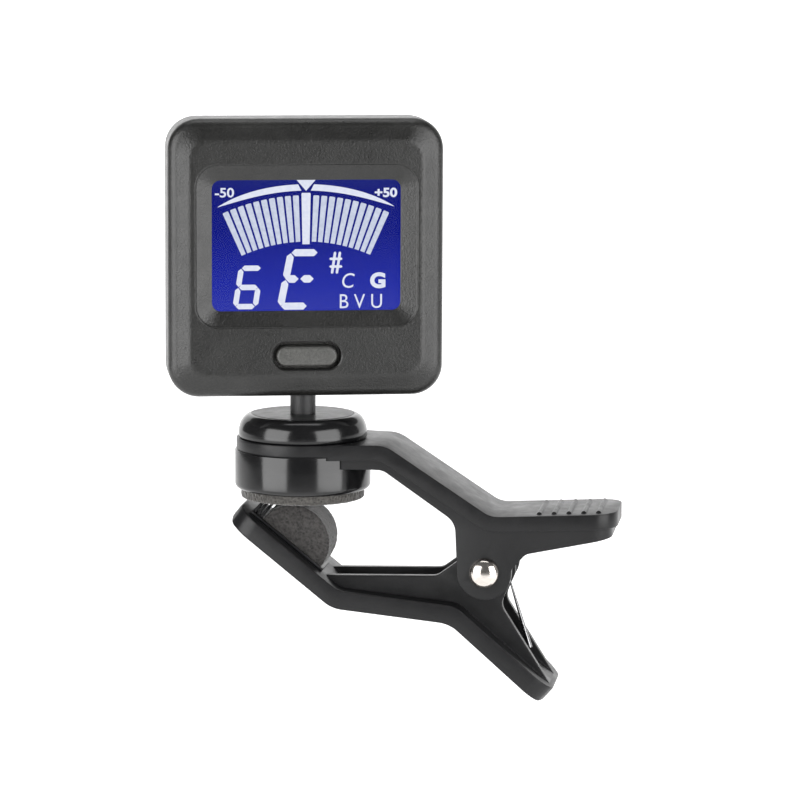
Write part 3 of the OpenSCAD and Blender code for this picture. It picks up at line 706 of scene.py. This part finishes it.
def on_jaw(along, up):
    """A point in X and Z, so far along the jaw and so far in from its outer face."""
    return (JAW_BEND[0] + along * math.cos(JAW_A) + up * math.sin(JAW_A),
            JAW_BEND[1] + along * math.sin(JAW_A) - up * math.cos(JAW_A))


def lower_pad():
    """The half-round foam pad: a loft across its width with softened ends."""
    roll_r, roll_w, roll_at, seat = 5.7, 8.6, 10.85, 3.2
    around = 150
    rings = []
    columns = [(0, 0.3), (0.08, 0.12), (0.3, 0)]
    spans = [(y, s) for y, s in columns] + [(0.3 + (roll_w - 0.6) * i / 60, 0) for i in range(1, 60)]
    spans += [(roll_w - y, s) for y, s in reversed(columns)]
    for y, shrink in spans:
        points = []
        for i in range(around + 1):
            a = math.pi * i / around
            points.append(((roll_r - shrink) * math.cos(a), (roll_r - shrink) * math.sin(a)))
        points += [((roll_r - shrink) * (2 * i / 40 - 1), 0) for i in range(1, 40)]
        # first coordinate runs down the jaw towards its bend
        placed = [on_jaw(roll_at - p, seat + q) for p, q in points]
        rings.append([(x, y - roll_w / 2, z) for x, z in placed])
    n = len(rings[0])
    vertices = [p for r in rings for p in r]
    faces = [(i * n + k, (i + 1) * n + k, (i + 1) * n + (k + 1) % n, i * n + (k + 1) % n)
             for i in range(len(rings) - 1) for k in range(n)]
    # end faces as fans of rings towards the middle of the flat side
    for start, y in ((0, -roll_w / 2), ((len(rings) - 1) * n, roll_w / 2)):
        last = [start + k for k in range(n)]
        middle = on_jaw(roll_at, seat + roll_r * 0.4)
        for step in range(1, 30):
            t = step / 30
            base = len(vertices)
            for k in range(n):
                p = vertices[start + k]
                vertices.append((p[0] + (middle[0] - p[0]) * t, y, p[2] + (middle[1] - p[2]) * t))
            for k in range(n):
                faces.append((last[k], last[(k + 1) % n], base + (k + 1) % n, base + k))
            last = [base + k for k in range(n)]
        centre = len(vertices)
        vertices.append((middle[0], y, middle[1]))
        faces += [(last[k], last[(k + 1) % n], centre) for k in range(n)]
    piece = make("lower_foam_pad", vertices, faces, FOAM_LOWER, 60)
    roughened(piece, 0.06, 0.5)
    return place(piece, "jaw", "foam", "lower_pad")


# ---- pivot and arms ----


def rivet():
    """The rivet: a shank with a domed head at each end."""
    profile = []
    for i in range(15):
        a = math.radians(90 * i / 14)
        profile.append((RIVET_HEAD_R * math.sin(a), RIVET_Y + RIVET_HEAD_H * math.cos(a)))
    profile += [(RIVET_HEAD_R, RIVET_Y + 0.02), (RIVET_HEAD_R, RIVET_Y), (RIVET_R, RIVET_Y)]
    profile += [(r, -y) for r, y in reversed(profile)]
    vertices, faces = lathe(profile, 96)
    piece = make("pivot_rivet_domed", shifted(along_y(vertices), PIVOT_X, 0, PIVOT_Z), faces,
                 NICKEL, 50)
    return place(piece, "clip", "nickel", "pivot_rivet")


def arms():
    """The nylon mouldings, the post and the spacers: CAD shapes with broken edges."""
    upper = softened("upper_arm_moulding", "upper_arm", NYLON, 0.28)
    place(upper, "clip", "arm_nylon", "upper_arm")
    lower = softened("lower_arm_moulding", "lower_arm", NYLON, 0.28)
    place(lower, "jaw", "arm_nylon", "lower_arm")
    tray = softened("pad_tray_plate", "pad_tray", NYLON, 0.07, 2)
    place(tray, "jaw", "arm_nylon", "pad_tray")
    post = softened("swivel_post", "stem", ACETAL, 0.12)
    place(post, "swivel", "stem", "stem")
    spacers = softened("pivot_spacer_rings", "pivot_spacers", SPACER, 0.08, 2)
    place(spacers, "clip", "acetal", "pivot_spacers")


# ---- spring, made as wire along a path ----


def spring_path():
    """The wire's centre line: a leg, the coil and a leg."""
    wire_d, coil_r, turns = 0.8, 2.25, 4
    step = wire_d + 0.06
    high, low = (40.5, -3.35), (34.4, -22.4)

    def tangent(target, side):
        dx, dz = target[0] - PIVOT_X, target[1] - PIVOT_Z
        return math.atan2(dz, dx) + side * math.acos(coil_r / math.hypot(dx, dz))

    start, stop = tangent(high, 1), tangent(low, -1)
    sweep = 2 * math.pi * turns - (stop - start) % (2 * math.pi)
    half = step * sweep / (4 * math.pi)
    points = [(high[0], -half, high[1])]
    count = 48 * turns
    for k in range(count + 1):
        t = k / count
        a = start + sweep * t
        points.append((PIVOT_X + coil_r * math.cos(a), half * (2 * t - 1),
                       PIVOT_Z + coil_r * math.sin(a)))
    points.append((low[0], half, low[1]))
    return points, wire_d


def nodes_modifier(piece, name, inputs):
    """A Geometry Nodes modifier with a new tree that has the given named inputs."""
    tree = bpy.data.node_groups.new(name, "GeometryNodeTree")
    tree.interface.new_socket("Geometry", in_out="INPUT", socket_type="NodeSocketGeometry")
    sockets = {}
    for label, kind, _ in inputs:
        sockets[label] = tree.interface.new_socket(label, in_out="INPUT", socket_type=kind)
    tree.interface.new_socket("Geometry", in_out="OUTPUT", socket_type="NodeSocketGeometry")
    modifier = piece.modifiers.new(name, "NODES")
    modifier.node_group = tree
    for label, _, value in inputs:
        modifier[sockets[label].identifier] = value
    return tree, tree.nodes.new("NodeGroupInput"), tree.nodes.new("NodeGroupOutput")


def finish_tree(tree, geometry, material, group_out):
    """Ends a tree in Realize Instances and Set Material."""
    real = add(tree, "GeometryNodeRealizeInstances", {"Geometry": geometry})
    painted = add(tree, "GeometryNodeSetMaterial", {"Geometry": real.outputs[0]})
    painted.inputs["Material"].default_value = material
    tree.links.new(painted.outputs[0], group_out.inputs["Geometry"])


def torsion_spring():
    """The spring: a round wire swept along its path."""
    points, wire_d = spring_path()
    mesh = bpy.data.meshes.new("torsion_spring_wire")
    mesh.from_pydata([Vector(p) * MM for p in points], [(i, i + 1) for i in range(len(points) - 1)],
                     [])
    piece = bpy.data.objects.new("torsion_spring_wire", mesh)
    bpy.context.collection.objects.link(piece)
    tree, given, out = nodes_modifier(piece, "wire_along_path", [
        ("Wire radius", "NodeSocketFloat", wire_d / 2 * MM), ("Wire sides", "NodeSocketInt", 16)])
    line = add(tree, "GeometryNodeMeshToCurve", {"Mesh": given.outputs["Geometry"]})
    section = add(tree, "GeometryNodeCurvePrimitiveCircle", {
        "Radius": given.outputs["Wire radius"], "Resolution": given.outputs["Wire sides"]})
    tube = add(tree, "GeometryNodeCurveToMesh", {
        "Curve": line.outputs[0], "Profile Curve": section.outputs[0]})
    tube.inputs["Fill Caps"].default_value = True
    finish_tree(tree, tube.outputs[0], WIRE, out)
    bake(piece)
    smooth(piece.data, 50)
    return place(piece, "clip", "steel", "torsion_spring")


# ---- case screws, one head repeated at four places ----


def screw_head():
    """A pan head with a cross recess, its seat at the origin and its top towards +Y."""
    profile = [(0, 0), (1.6, 0), (1.6, 0.45), (1.5, 0.62), (1.25, 0.74), (0.8, 0.78), (0, 0.78)]
    vertices, faces = lathe(profile, 40)
    head = make("screw_head", along_y(vertices), faces, SCREW)
    bars = [box_mesh(-0.95, 0.95, 0.35, 2, -0.2, 0.2), box_mesh(-0.2, 0.2, 0.35, 2, -0.95, 0.95)]
    return cut(head, [tool(v, f) for v, f in bars])


def case_screws():
    """The four case screws: one head on each point, each driven to its own angle."""
    head = screw_head()
    places = [(x, BACK_Y - 0.98, HEAD_MID + z) for x in (-POST_X, POST_X)
              for z in (-POST_Z, POST_Z)]
    mesh = bpy.data.meshes.new("case_screw_heads")
    mesh.from_pydata([Vector(p) * MM for p in places], [], [])
    piece = bpy.data.objects.new("case_screw_heads", mesh)
    bpy.context.collection.objects.link(piece)
    tree, given, out = nodes_modifier(piece, "screws_at_points", [
        ("Head", "NodeSocketObject", head), ("Turn", "NodeSocketFloat", SWIVEL),
        ("Seed", "NodeSocketInt", 4)])
    info = add(tree, "GeometryNodeObjectInfo", {"Object": given.outputs["Head"]})
    drive = add(tree, "FunctionNodeRandomValue", {"Seed": given.outputs["Seed"]})
    drive.data_type = "FLOAT"
    drive.inputs[2].default_value = 0.0
    drive.inputs[3].default_value = 1.5
    angles = add(tree, "ShaderNodeCombineXYZ", {"Y": drive.outputs[1]})
    heads = add(tree, "GeometryNodeInstanceOnPoints", {
        "Points": given.outputs["Geometry"], "Instance": info.outputs["Geometry"],
        "Rotation": angles.outputs[0]})
    upright = add(tree, "ShaderNodeCombineXYZ", {"Z": given.outputs["Turn"]})
    faced = add(tree, "GeometryNodeTransform", {
        "Geometry": heads.outputs[0], "Rotation": upright.outputs[0]})
    finish_tree(tree, faced.outputs[0], SCREW, out)
    bake(piece)
    bpy.data.objects.remove(head)
    smooth(piece.data, 35)
    return place(piece, "head", "steel", "shell_screws")


# ---- display ----

# The scale's centre lies below the display, where its bars' lines meet
FAN_Z = VIEW_Z - 22.83
SEGMENT_Y = LCD_Y - 0.012
SEGMENT_T = 0.008


def flat(outlines):
    """Thin plates from outlines in X and Z about the display's centre."""
    vertices, faces = [], []
    for outline in outlines:
        n, base = len(outline), len(vertices)
        vertices += [(x, SEGMENT_Y, VIEW_Z + z) for x, z in outline]
        vertices += [(x, SEGMENT_Y + SEGMENT_T, VIEW_Z + z) for x, z in outline]
        faces.append(tuple(base + k for k in range(n)))
        faces.append(tuple(base + n + k for k in range(n - 1, -1, -1)))
        faces += [(base + k, base + n + k, base + n + (k + 1) % n, base + (k + 1) % n)
                  for k in range(n)]
    return vertices, faces


def scale_bars():
    """Bars that fan out on an arc, on both sides of the middle bar: one tapered bar, repeated."""
    bar = [(-0.33, -3.44), (0.33, -3.44), (0.44, 3.3), (0.36, 3.44), (-0.36, 3.44), (-0.44, 3.3)]
    vertices, faces = flat([bar])
    piece = make("display_scale_bars", shifted(vertices, 0, -SEGMENT_Y, -VIEW_Z), faces, SCALE)
    tree, given, out = nodes_modifier(piece, "bars_on_arc", [
        ("Bars", "NodeSocketInt", 20), ("Step", "NodeSocketFloat", math.radians(2.27)),
        ("Middle space", "NodeSocketFloat", math.radians(3.53)),
        ("Arc radius", "NodeSocketFloat", 26.77 * MM),
        ("Arc centre", "NodeSocketVector", (0, SEGMENT_Y * MM, FAN_Z * MM))])

    def maths(operation, first, second, third=0.0):
        node = tree.nodes.new("ShaderNodeMath")
        node.operation = operation
        for socket, value in zip(node.inputs, (first, second, third)):
            if isinstance(value, (int, float)):
                socket.default_value = value
            else:
                tree.links.new(value, socket)
        return node.outputs[0]

    row = add(tree, "GeometryNodeMeshLine", {"Count": given.outputs["Bars"]})
    row.inputs["Offset"].default_value = (0, 0, 0)
    raised = add(tree, "ShaderNodeCombineXYZ", {"Z": given.outputs["Arc radius"]})
    lifted = add(tree, "GeometryNodeTransform", {
        "Geometry": given.outputs["Geometry"], "Translation": raised.outputs[0]})
    index = tree.nodes.new("GeometryNodeInputIndex").outputs[0]
    half = maths("MULTIPLY", given.outputs["Bars"], 0.5)
    centred = maths("SUBTRACT", maths("SUBTRACT", index, half), -0.5)
    side = maths("SIGN", centred, 0)
    spare = maths("MULTIPLY", side, given.outputs["Middle space"])
    angle = maths("MULTIPLY_ADD", centred, given.outputs["Step"], maths("MULTIPLY", spare, 0.5))
    turn = add(tree, "ShaderNodeCombineXYZ", {"Y": angle})
    bars = add(tree, "GeometryNodeInstanceOnPoints", {
        "Points": row.outputs[0], "Instance": lifted.outputs[0], "Rotation": turn.outputs[0]})
    moved = add(tree, "GeometryNodeTransform", {
        "Geometry": bars.outputs[0], "Translation": given.outputs["Arc centre"]})
    faced = add(tree, "GeometryNodeTransform", {"Geometry": moved.outputs[0]})
    faced.inputs["Rotation"].default_value = (0, 0, SWIVEL)
    finish_tree(tree, faced.outputs[0], SCALE, out)
    bake(piece)
    return place(piece, "head", "lcd")


def arc_band(side):
    """Half of the line over the scale: a band that tapers to a point at its outer end."""
    outer, inner = [], []
    steps = 30
    for i in range(steps + 1):
        t = i / steps
        half = 0.45 * (1 - t ** 4) + 0.02
        for row, radius, start in ((outer, 31.36 + half, 2.1), (inner, 31.36 - half, 1.3)):
            a = side * math.radians(start + (24.7 - start) * t)
            row.append((radius * math.sin(a), FAN_Z - VIEW_Z + radius * math.cos(a)))
    return outer + inner[::-1]


def bar_shape(a, b, thick):
    """One straight segment of a digit from a to b with pointed ends."""
    dx, dz = b[0] - a[0], b[1] - a[1]
    length = math.hypot(dx, dz)
    ux, uz = dx / length, dz / length
    nx, nz = -uz * thick / 2, ux * thick / 2
    tip = thick / 2
    return [a, (a[0] + ux * tip + nx, a[1] + uz * tip + nz),
            (b[0] - ux * tip + nx, b[1] - uz * tip + nz), b,
            (b[0] - ux * tip - nx, b[1] - uz * tip - nz),
            (a[0] + ux * tip - nx, a[1] + uz * tip - nz)]


# Which of a digit's strokes are lit, between corners numbered 0 to 5 from the top left,
# clockwise, with 2 and 5 at the middle
CORNERS = [(0, 2), (1, 2), (1, 1), (1, 0), (0, 0), (0, 1)]
STROKES = {
    "6": [(0, 1), (0, 5), (5, 4), (4, 3), (3, 2), (5, 2)],
    "E": [(0, 1), (0, 5), (5, 4), (4, 3)],
}


def sign(letter, x, z, w, h, thick, slant):
    """A digit or letter of straight strokes, its lower left corner at x, z."""
    gap = 0.07
    outlines = []
    for a, b in STROKES[letter]:
        ends = []
        for p, q in ((a, b), (b, a)):
            px, pz = CORNERS[p][0] * w, CORNERS[p][1] * h / 2
            qx, qz = CORNERS[q][0] * w, CORNERS[q][1] * h / 2
            length = math.hypot(qx - px, qz - pz)
            px += (qx - px) / length * gap
            pz += (qz - pz) / length * gap
            ends.append((x + px + slant * pz, z + pz))
        outlines.append(bar_shape(ends[0], ends[1], thick))
    return outlines


def printed(name, text, x, z, w, h, weight=0.0, slant=0.0):
    """Small generic characters of the display, w by h with their lower left corner at x, z."""
    font = bpy.data.curves.new(name, "FONT")
    font.body = text
    font.offset = weight
    font.shear = slant
    font.extrude = 0.004
    font.resolution_u = 4
    source = bpy.data.objects.new(name + "_font", font)
    bpy.context.collection.objects.link(source)
    mesh = bpy.data.meshes.new_from_object(
        source.evaluated_get(bpy.context.evaluated_depsgraph_get()))
    bpy.data.objects.remove(source)
    xs, ys = [v.co.x for v in mesh.vertices], [v.co.y for v in mesh.vertices]
    for v in mesh.vertices:
        across = x + (v.co.x - min(xs)) / (max(xs) - min(xs)) * w
        up = z + (v.co.y - min(ys)) / (max(ys) - min(ys)) * h
        point = (across, SEGMENT_Y + SEGMENT_T / 2 - v.co.z, VIEW_Z + up)
        v.co = Vector(turned([point])[0]) * MM
    return place(finish_mesh(name, mesh, SEGMENT), "head", "lcd")


def display_signs():
    """The display's generic content for a chromatic tuner."""
    outlines = [arc_band(1), arc_band(-1)]
    outlines.append([(-1.42, 9.66), (0, 8.02), (1.42, 9.66)])
    outlines.append([(-0.53, 0.1), (0.53, 0.1), (0.68, 7.6), (0.6, 7.72), (-0.6, 7.72),
                     (-0.68, 7.6)])
    outlines += sign("6", -10.5, -9.1, 2.95, 5.7, 0.8, 0.16)
    outlines += sign("E", -3.8, -9.1, 4.0, 7.95, 1.05, 0.2)
    for start, stop in ((-3.05, -1.1), (-0.85, 1.15)):
        outlines.append(bar_shape((start, -5.05), (stop, -5.05), 1.12))
    for dx in (0, 0.72):
        outlines.append(bar_shape((3.85 + dx, -4.35), (4.35 + dx, -1.0), 0.38))
    for dz in (0, 1.15):
        outlines.append(bar_shape((3.45, -3.25 + dz), (5.45, -3.25 + dz), 0.38))
    vertices, faces = flat(outlines)
    place(make("display_signs", turned(vertices), faces, SEGMENT), "head", "lcd")
    printed("display_scale_low", "-50", -13.5, 7.1, 2.85, 1.43, 0.02)
    printed("display_scale_high", "+50", 10.2, 7.0, 3.35, 1.43, 0.035)
    printed("display_mode_c", "C", 5.4, -6.45, 1.85, 2.2, 0.0, 0.15)
    printed("display_mode_g", "G", 9.55, -6.55, 2.3, 2.4, 0.05)
    printed("display_mode_row", "B V U", 5.05, -9.5, 6.3, 2.1)


# ---- inner pieces keep their CAD shapes ----

INNER = {
    "lcd_panel": LCD, "screen_window": WINDOW, "backlight": GUIDE, "lcd_connector": ELASTOMER,
    "circuit_board": BOARD, "board_components": CHIPS, "tact_switch": STEEL,
    "piezo_sensor": BRASS, "battery_holder": CHIPS, "coin_cell": STEEL,
    "battery_contact_negative": BRASS, "battery_contact_positive": BRASS,
    "swivel_washer": STEEL, "swivel_screw": STEEL, "tilt_pin": STEEL, "tilt_washers": BRASS,
}


def dress_inner():
    """Gives each inner piece its finish."""
    for node, material in INNER.items():
        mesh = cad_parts[node].data
        mesh.materials.clear()
        mesh.materials.append(material)


# ---- studio ----


def aim(thing, target):
    """Turns a lamp or camera at its place so that it looks at the target."""
    direction = (Vector(target) - thing.location).normalized()
    thing.rotation_euler = direction.to_track_quat("-Z", "Y").to_euler()


def softbox(name, place_m, target, width, height, power):
    """A white lamp at a place in metres, turned towards its target."""
    lamp = bpy.data.lights.new(name, "AREA")
    lamp.shape = "RECTANGLE"
    lamp.size, lamp.size_y = width, height
    lamp.energy = power
    piece = bpy.data.objects.new(name, lamp)
    bpy.context.collection.objects.link(piece)
    piece.location = place_m
    aim(piece, target)
    return piece


def stage_plane(name, corners, colour, near_glow, far_glow):
    """Pale paper, lit more strongly behind the object than in front of it."""
    material, tree, shader, coords = new_material(name + "_paper")
    shader.inputs["Base Color"].default_value = linear(colour)
    shader.inputs["Emission Color"].default_value = linear("#ffffff")
    split = add(tree, "ShaderNodeSeparateXYZ", {"Vector": coords})
    glow = spread(tree, split.outputs["Y"], near_glow, far_glow, -0.35, 0.2)
    tree.links.new(glow, shader.inputs["Emission Strength"])
    shader.inputs["Roughness"].default_value = 0.9
    mesh = bpy.data.meshes.new(name)
    mesh.from_pydata(corners, [], [(0, 1, 2, 3)])
    mesh.materials.append(material)
    piece = bpy.data.objects.new(name, mesh)
    bpy.context.collection.objects.link(piece)
    return piece


def studio():
    """The camera, three softboxes, pale paper and a dim white room."""
    camera = bpy.data.objects.new("camera", bpy.data.cameras.new("camera"))
    bpy.context.collection.objects.link(camera)
    camera.location = (0.09055, -0.56294, 0.09668)
    # looking down 8.2 degrees and 7.7 to the left, and rolled a quarter of a degree
    camera.rotation_euler = (math.pi / 2 - 0.14288, 0, 0.13395)
    camera.rotation_euler.rotate_axis("Z", 0.00469)
    camera.data.sensor_width = 36
    camera.data.lens = 172.76
    camera.data.clip_start, camera.data.clip_end = 0.01, 20
    bpy.context.scene.camera = camera

    middle = (0.005, 0, 0.01)
    reach = 0.5
    for name, angle, power in (("softbox_left", -49, 3.2), ("softbox_right", 47, 2.9)):
        a = math.radians(-90 + 9 + angle)
        at = (reach * math.cos(a), reach * math.sin(a), 0.08)
        softbox(name, at, (0, 0, 0.02), 0.42, 0.5, power)
    softbox("softbox_top", (0, 0.05, 0.7), middle, 0.5, 0.4, 1.4)
    floor_z, far, side = -0.12, 2.5, 3.0
    stage_plane("floor", [(-side, -side, floor_z), (side, -side, floor_z), (side, far, floor_z),
                          (-side, far, floor_z)], "#e8e8e8", 0.2, 0.9)
    stage_plane("backdrop", [(-side, far, floor_z), (side, far, floor_z), (side, far, 3),
                             (-side, far, 3)], "#f4f4f4", 0.9, 0.9)
    world = bpy.data.worlds.new("studio")
    world.use_nodes = True
    world.node_tree.nodes["Background"].inputs["Color"].default_value = (1, 1, 1, 1)
    world.node_tree.nodes["Background"].inputs["Strength"].default_value = 0.15
    bpy.context.scene.world = world
    bpy.context.scene.view_settings.view_transform = "Standard"


studio()
front_shell()
rear_shell()
key()
hatch()
case_screws()
collar()
pad_cup()
swivel_disc()
upper_pad()
lower_pad()
rivet()
arms()
torsion_spring()
scale_bars()
display_signs()
dress_inner()
